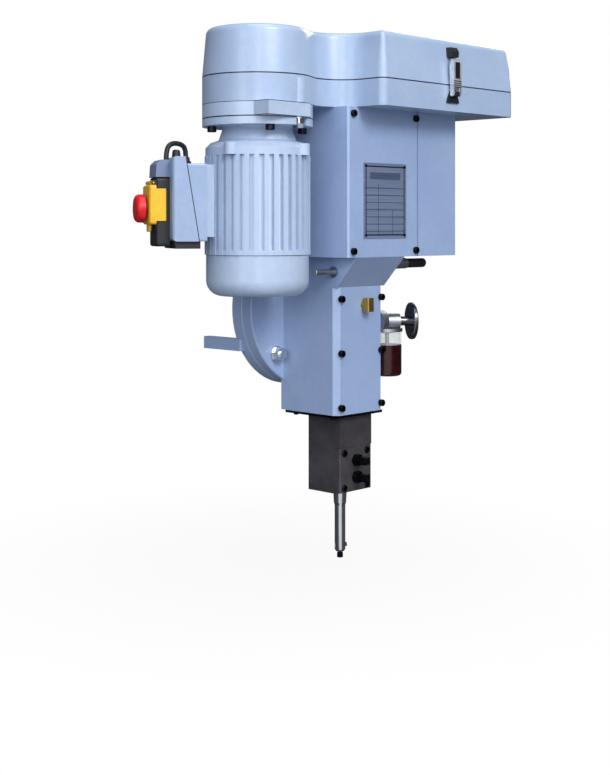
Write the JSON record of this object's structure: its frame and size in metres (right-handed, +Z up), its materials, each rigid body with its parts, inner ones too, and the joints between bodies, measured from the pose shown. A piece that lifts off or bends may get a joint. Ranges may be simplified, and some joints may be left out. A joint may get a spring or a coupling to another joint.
{
  "type": "slotting head",
  "caption": "Motor-driven slotting head with swivel flange, crank-driven ram, clamped slotting tool, belt housing with hinged lid, pull lubricator and stop switch.",
  "frame": {"origin": "centre of the rear mounting face of the swivel base", "axes": "+Y out of the rear mounting face, towards the machine; the ram, tool and covers face -Y; +Z up along the ram; +X to the right seen from the front"},
  "size_m": [0.5853, 0.321, 0.7706],
  "materials": {
    "cast_paint": "satin",
    "lid_paint": "satin",
    "motor_paint": "satin",
    "box_paint": "satin",
    "bright_steel": "ground",
    "dark_steel": "black oxide",
    "steel": "turned",
    "chrome": "polished",
    "iron": "machined",
    "plate": "satin",
    "bronze": "machined",
    "brass": "satin",
    "rubber": "matt",
    "black_plastic": "textured",
    "hood_plastic": "textured",
    "yellow_plastic": "glossy",
    "red_plastic": "glossy",
    "clear_plastic": "clear",
    "fan_plastic": "moulded",
    "copper": "varnished windings"
  },
  "bodies": {
    "base": {"swivel_base": "cast_paint"},
    "head": {"swivel_bolts": "dark_steel", "ram_housing": "cast_paint", "ram_front_plate": "cast_paint", "plate_screws": "dark_steel", "way_wiper": "dark_steel", "small_screws": "steel", "gear_housing": "cast_paint", "gear_front_plate": "cast_paint", "rating_plate": "plate", "drive_bearings": "steel", "bearing_cap": "cast_paint", "drive_belt": "rubber", "belt_housing": "lid_paint", "hinge_leaves": "steel", "latch_foot": "black_plastic", "motor_plate": "motor_paint", "motor_screws": "chrome", "end_bells": "motor_paint", "motor_frame": "motor_paint", "stator": "copper", "fan_cover": "motor_paint", "terminal_box": "box_paint", "terminal_lid": "box_paint", "cable_glands": "black_plastic", "switch_body": "black_plastic", "switch_hood": "hood_plastic", "switch_buttons": "black_plastic", "switch_conduit": "black_plastic", "oiler_body": "steel", "oiler_reservoir": "clear_plastic", "oil_fitting": "brass", "side_spindle": "steel", "lock_guide": "steel"},
    "ram": {"ram": "bright_steel", "wrist_pin": "steel", "clamp_plate": "bright_steel", "clamp_screws": "dark_steel", "set_bolts": "dark_steel", "tool_bar": "bright_steel", "tool_bit": "steel", "bit_screw": "dark_steel"},
    "rod": {"connecting_rod": "iron"},
    "crank": {"crankshaft": "iron", "crank_pin": "steel", "worm_wheel": "bronze"},
    "worm": {"worm_shaft": "steel", "driven_pulley": "iron", "pulley_nut": "dark_steel"},
    "rotor": {"motor_rotor": "steel", "motor_pulley": "iron", "cooling_fan": "fan_plastic"},
    "lid": {"belt_cover": "lid_paint", "lid_leaves": "steel", "latch_keeper": "black_plastic"},
    "latch": {"latch_lever": "chrome"},
    "oiler_pull": {"oiler_handle": "black_plastic"},
    "lock": {"lock_plunger": "black_plastic"},
    "flap": {"switch_flap": "yellow_plastic"},
    "knob": {"stop_knob": "red_plastic"}
  },
  "joints": [
    {"name": "head_swivel", "type": "hinge", "parent": "base", "child": "head", "pos_m": [0, 0, 0], "axis": [0, 1, 0], "range_deg": [-45, 45]},
    {"name": "ram_slide", "type": "slide", "parent": "head", "child": "ram", "axis": [0, 0, 1], "range_m": [-0.055, 0.045]},
    {"name": "rod_swing", "type": "hinge", "parent": "ram", "child": "rod", "pos_m": [0, -0.132, 0.04], "axis": [0, -1, 0], "range_deg": [0, 37.5]},
    {"name": "rotor_spin", "type": "hinge", "parent": "head", "child": "rotor", "pos_m": [-0.163, -0.1, 0.15], "axis": [0, 0, 1], "continuous": true},
    {"name": "worm_spin", "type": "hinge", "parent": "head", "child": "worm", "pos_m": [0.07775, -0.088, 0.19], "axis": [0, 0, 1], "continuous": true},
    {"name": "crank_spin", "type": "hinge", "parent": "head", "child": "crank", "pos_m": [0, -0.08, 0.19], "axis": [0, 1, 0], "continuous": true},
    {"name": "lid_hinge", "type": "hinge", "parent": "head", "child": "lid", "pos_m": [0.1, -0.0155, 0.3308], "axis": [-1, 0, 0], "range_deg": [0, 80]},
    {"name": "latch_hinge", "type": "hinge", "parent": "head", "child": "latch", "pos_m": [0.104, -0.245, 0.317], "axis": [1, 0, 0], "range_deg": [0, 100]},
    {"name": "oiler_slide", "type": "slide", "parent": "head", "child": "oiler_pull", "axis": [0.829, -0.5592, 0], "range_m": [0, 0.025], "stiffness_N_per_m": 400},
    {"name": "lock_slide", "type": "slide", "parent": "head", "child": "lock", "axis": [1, 0, 0], "range_m": [0, 0.008], "stiffness_N_per_m": 600},
    {"name": "flap_hinge", "type": "hinge", "parent": "head", "child": "flap", "pos_m": [-0.29638, -0.02607, 0.1813], "axis": [0.4848, 0.8746, 0], "range_deg": [0, 100]},
    {"name": "knob_press", "type": "slide", "parent": "flap", "child": "knob", "axis": [0.8746, -0.4848, 0], "range_m": [0, 0.003], "stiffness_N_per_m": 600}
  ],
  "couplings": [
    {"joint": "worm_spin", "follows": "rotor_spin", "ratio": 0.5},
    {"joint": "crank_spin", "follows": "rotor_spin", "ratio": 0.016667}
  ]
}
